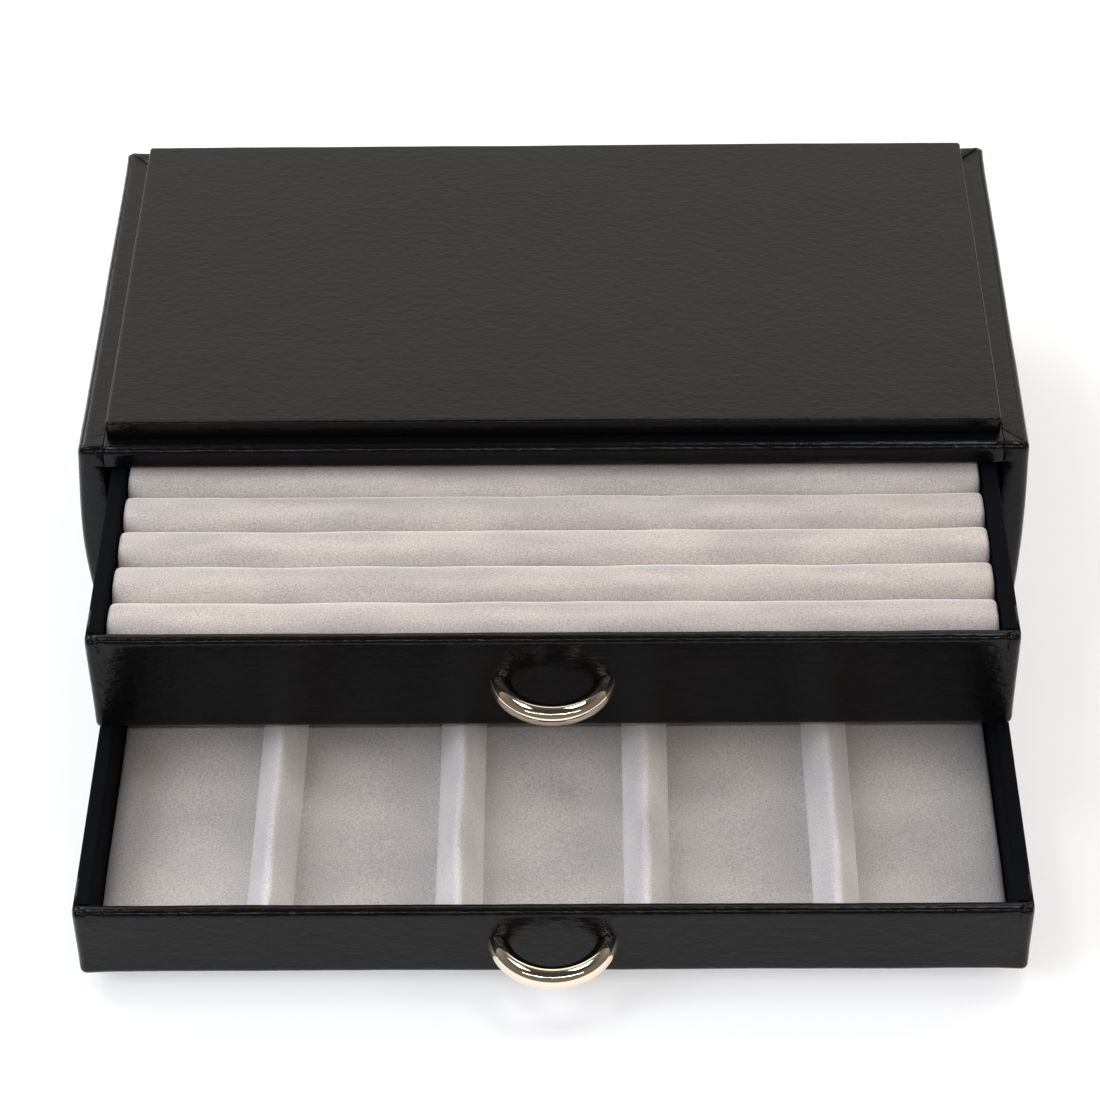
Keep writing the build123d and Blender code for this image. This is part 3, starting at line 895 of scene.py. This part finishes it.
# The same suede on the floor, and drawn tight over the wedges, with painted light that makes it
# paler.
suede = new_suede("brushed_suede", "a7a098", "cbc4bc", (34.0, 27.0, 34.0))
lit_slope_suede = new_suede("brushed_suede_painted_paler", "c2bdb6", "e6e0d9", (20.0, 30.0, 20.0))

divider_centres = [
    (index - (divider_count - 1) / 2) * divider_pitch for index in range(divider_count)
]

pad_ends = (pad_inside + pad_gap, pad_inside + pad_length - pad_gap)
pad = block((-pad_end, pad_end), pad_ends, (pad_foot, pad_top))
pad_rim = sharp_edges(edges_at(pad, lambda p: p.z > pad_top - tolerance), square_corner)
round_off(pad, pad_rim, pad_round, steps=3)
score_across(pad, 0, evenly(-pad_end + 2 * flat, pad_end - 2 * flat, pad_step))
score_across(pad, 1, evenly(pad_ends[0] + 2 * flat, pad_ends[1] - 2 * flat, pad_step))


def under_divider(p):
    """Where a divider stands on the pad."""
    return min(abs(p.x - centre) for centre in divider_centres) < divider_base / 2 - divider_margin


push(
    pad,
    lambda p: pad_lump_height * noise.noise(p / pad_lump) if p.z > pad_top - 1 else 0.0,
)
soft_piece(
    pad,
    "suede_floor",
    suede,
    "lower_drawer",
    "lower_floor_pad",
    lambda p: p.z < pad_top - pad_glue or under_divider(p),
    pad_room,
)

for index, centre in enumerate(divider_centres):
    crest_z = pad_top + divider_height
    ends = (pad_inside + divider_gap, pad_inside + pad_length - divider_gap)
    wedge = block((centre - 1, centre + 1), ends, (pad_top - divider_sunk, crest_z))
    score_across(wedge, 2, (pad_top - flat, pad_top, pad_top + flat, pad_top + divider_foot))
    score_across(wedge, 2, evenly(pad_top + divider_foot, crest_z, divider_step))
    for vert in wedge.verts:
        high = min(1.0, max(0.0, (vert.co.z - pad_top) / divider_height))
        half = crest_half + (divider_base / 2 - crest_half) * (1 - high) ** divider_flare
        vert.co.x = centre + math.copysign(half, vert.co.x - centre)
    crest = edges_along(edges_at(wedge, lambda p: p.z > crest_z - tolerance), 1)
    round_off(wedge, crest, crest_round, steps=3)
    span = [ends[0] + divider_end, ends[1] - divider_end]
    score_across(wedge, 1, span + evenly(*span, pad_step))

    def wander(p):
        """How far the wedge strays sideways, most at its crest."""
        high = max(0.0, (p.z - pad_top) / divider_height)
        return high * noise.noise(Vector((index * 7.0, p.y / wander_length, 3.0)))

    def lumpy(p):
        """The foam's lumps, different on each wedge."""
        x, y, z = (part / length for part, length in zip(p, divider_lump))
        return divider_lump_height * noise.noise(Vector((x, y, z + index)))

    for vert in wedge.verts:
        vert.co.x += divider_wander * wander(vert.co)
    push(wedge, lumpy)
    soft_piece(
        wedge,
        f"suede_divider_{index + 1}",
        lit_slope_suede,
        "lower_drawer",
        f"lower_divider_{index + 1}",
        lambda p: p.z < pad_top + divider_glue,
        divider_room,
    )

# The foam swells under its suede: a short cloth simulation, the same each run, and each point's
# move is kept within the room that the piece has.
swelling_frames = 20
foam_pressure = 4.0
foam_mass = 0.02

for piece, limit in soft_pieces:
    foam = piece.modifiers.new("foam", "CLOTH")
    foam.settings.use_pressure = True
    foam.settings.uniform_pressure_force = foam_pressure
    foam.settings.mass = foam_mass
    foam.settings.vertex_group_mass = "glued"
    foam.settings.effector_weights.gravity = 0.0
    foam.collision_settings.use_collision = False
    foam.point_cache.frame_end = swelling_frames
for step in range(1, swelling_frames + 1):
    scene.frame_set(step)
seen = bpy.context.evaluated_depsgraph_get()
for piece, limit in soft_pieces:
    swollen = [vert.co.copy() for vert in piece.evaluated_get(seen).data.vertices]
    piece.modifiers.clear()
    for vert, swelled in zip(piece.data.vertices, swollen):
        move = (swelled - vert.co) / mm
        capped = [room * math.tanh(part / room) for part, room in zip(move, limit)]
        vert.co += Vector(capped) * mm
scene.frame_set(1)
for piece, limit in soft_pieces:
    smooth = piece.modifiers.new("smooth", "SUBSURF")
    smooth.levels = 1
    smooth.render_levels = 1

# === Floor ========================================================================================
# A plain white table top, which goes on past the picture. It keeps the box's soft shadow. From here
# on all lengths are in metres.

table_white = 0.62
table_lift = 0.4             # the glow that keeps a studio table white for the eye
lift_from, lift_to = 0.7, 1.8              # how far off that glow begins to grow, and is 1
mirrored_lift = 0.72         # the same glow for reflections
table_half = 8.0
table_gap = 0.0001           # under the box, so that the two don't meet

table = bpy.data.materials.new("white_table")
table.use_nodes = True
tree = table.node_tree
tree.nodes.clear()
rays = add_node(tree, "LightPath")
seen = add_node(
    tree,
    "Math",
    {0: rays.outputs["Is Camera Ray"], 1: rays.outputs["Is Transmission Ray"]},
    operation="ADD",
)
place = add_node(tree, "TexCoord").outputs["Object"]
away = add_node(tree, "VectorMath", {0: place}, operation="LENGTH")
growing = add_node(
    tree,
    "MapRange",
    {
        "Value": away.outputs["Value"],
        "From Min": lift_from,
        "From Max": lift_to,
        "To Min": table_lift,
        "To Max": 1.0,
    },
)
lift_seen = add_node(
    tree, "Math", {0: seen.outputs[0], 1: growing.outputs["Result"]}, operation="MULTIPLY"
)
lift = add_node(
    tree,
    "Math",
    {0: rays.outputs["Is Glossy Ray"], 1: mirrored_lift, 2: lift_seen.outputs[0]},
    operation="MULTIPLY_ADD",
)
matt = add_node(tree, "BsdfDiffuse", {"Color": (table_white,) * 3 + (1.0,)})
glow = add_node(tree, "Emission", {"Strength": lift.outputs[0]})
both_parts = add_node(tree, "AddShader", {0: matt.outputs[0], 1: glow.outputs[0]})
add_node(tree, "OutputMaterial", {"Surface": both_parts.outputs[0]})

sheet = bmesh.new()
bmesh.ops.create_grid(sheet, x_segments=1, y_segments=1, size=table_half)
bmesh.ops.translate(sheet, vec=(0, 0, -table_gap), verts=sheet.verts)
mesh = bpy.data.meshes.new("table_top")
sheet.to_mesh(mesh)
sheet.free()
mesh.materials.append(table)
floor = bpy.data.objects.new("table_top", mesh)
scene.collection.objects.link(floor)
floor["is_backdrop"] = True

# === Light ========================================================================================
# A white studio: a large soft light behind the box, which its top reflects, cool lights to the
# left, weaker and warmer ones to the right, two small lamps overhead and a thin strip over the
# camera. The leather and the metal don't mirror the two fills in front.

room_behind = 0.5            # the white wall behind the table
room_before = 0.22           # the dimmer room round the camera
room_ceiling = 0.3           # of both, straight overhead
lamps_aim = Vector((0, -0.08, 0.03))

world = bpy.data.worlds.new("studio")
scene.world = world
world.use_nodes = True
tree = world.node_tree
tree.nodes.clear()
rays = add_node(tree, "LightPath")
way = add_node(
    tree, "SeparateXYZ", {"Vector": add_node(tree, "TexCoord").outputs["Generated"]}
)
toward_wall = add_node(
    tree,
    "MapRange",
    {
        "Value": way.outputs["Y"],
        "From Min": -0.1,
        "From Max": 0.5,
        "To Min": room_before,
        "To Max": room_behind,
    },
    interpolation_type="SMOOTHSTEP",
)
under_ceiling = add_node(
    tree,
    "MapRange",
    {
        "Value": way.outputs["Z"],
        "From Min": 0.65,
        "From Max": 0.9,
        "To Min": 1.0,
        "To Max": room_ceiling,
    },
)
strength = add_node(
    tree,
    "Math",
    {0: toward_wall.outputs["Result"], 1: under_ceiling.outputs["Result"]},
    operation="MULTIPLY",
)
room = add_node(
    tree, "Background", {"Color": linear("fff8ee"), "Strength": strength.outputs["Value"]}
)
white = add_node(tree, "Background", {"Color": (1.0, 1.0, 1.0, 1.0), "Strength": 1.0})
mixed = add_node(
    tree, "MixShader", {0: rays.outputs["Is Camera Ray"], 1: room.outputs[0], 2: white.outputs[0]}
)
add_node(tree, "OutputWorld", {"Surface": mixed.outputs[0]})

for name, place, size, watts, tint, mirrored in (
    ("softbox_behind", (0.0, 1.45, 1.35), (2.0, 1.3), 11.5, "fffaf2", True),
    ("softbox_left", (-1.1, 0.9, 0.95), (0.9, 0.7), 11.0, "e8efff", True),
    ("softbox_right", (1.2, 0.8, 0.75), (0.8, 0.6), 4.0, "fff0de", True),
    ("fill_front_left", (-1.2, -0.65, 0.9), (0.8, 0.8), 13.0, "edf2ff", False),
    ("fill_front_right", (1.2, -0.6, 0.8), (0.8, 0.7), 6.5, "fff2e2", False),
    ("lamp_over_left", (-0.47, -0.06, 1.2), (0.42, 0.24), 2.5, "f4f7ff", True),
    ("lamp_over_right", (0.3, 0.08, 1.25), (0.42, 0.24), 2.5, "f4f7ff", True),
    ("strip_over_camera", (0.0, -1.2, 1.18), (2.4, 0.03), 9.0, "e8efff", True),
):
    lamp = bpy.data.lights.new(name, "AREA")
    lamp.shape = "RECTANGLE"
    lamp.size, lamp.size_y = size
    lamp.energy = watts
    lamp.color = linear(tint)[:3]
    holder = bpy.data.objects.new(name, lamp)
    scene.collection.objects.link(holder)
    holder.location = place
    holder.visible_glossy = mirrored
    holder.rotation_euler = (lamps_aim - Vector(place)).to_track_quat("-Z", "Y").to_euler()

scene.view_settings.view_transform = "Standard"

# === Camera =======================================================================================
# The photograph's viewpoint: just right of the middle, from in front and above, with a long lens.

camera_place = Vector((0.010709, -0.851256, 0.746175))
camera_pitch = math.radians(42.608)
camera_yaw = math.radians(-0.901)
camera_roll = math.radians(0.917)

ahead = Vector((
    math.sin(camera_yaw) * math.cos(camera_pitch),
    math.cos(camera_yaw) * math.cos(camera_pitch),
    -math.sin(camera_pitch),
))
level = Vector((math.cos(camera_yaw), -math.sin(camera_yaw), 0))
down = -level.cross(ahead)
right = level * math.cos(camera_roll) + down * math.sin(camera_roll)
up = level * math.sin(camera_roll) - down * math.cos(camera_roll)
camera = bpy.data.cameras.new("camera")
camera.lens = 104.764
camera.sensor_width = 36.0
viewer = bpy.data.objects.new("camera", camera)
scene.collection.objects.link(viewer)
turned = Matrix((right, up, -ahead)).transposed().to_4x4()
viewer.matrix_world = Matrix.Translation(camera_place) @ turned
scene.camera = viewer

size = {
    "cad": [list(corner) for corner in cad_box],
    "visual": [list(corner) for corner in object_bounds()],
}
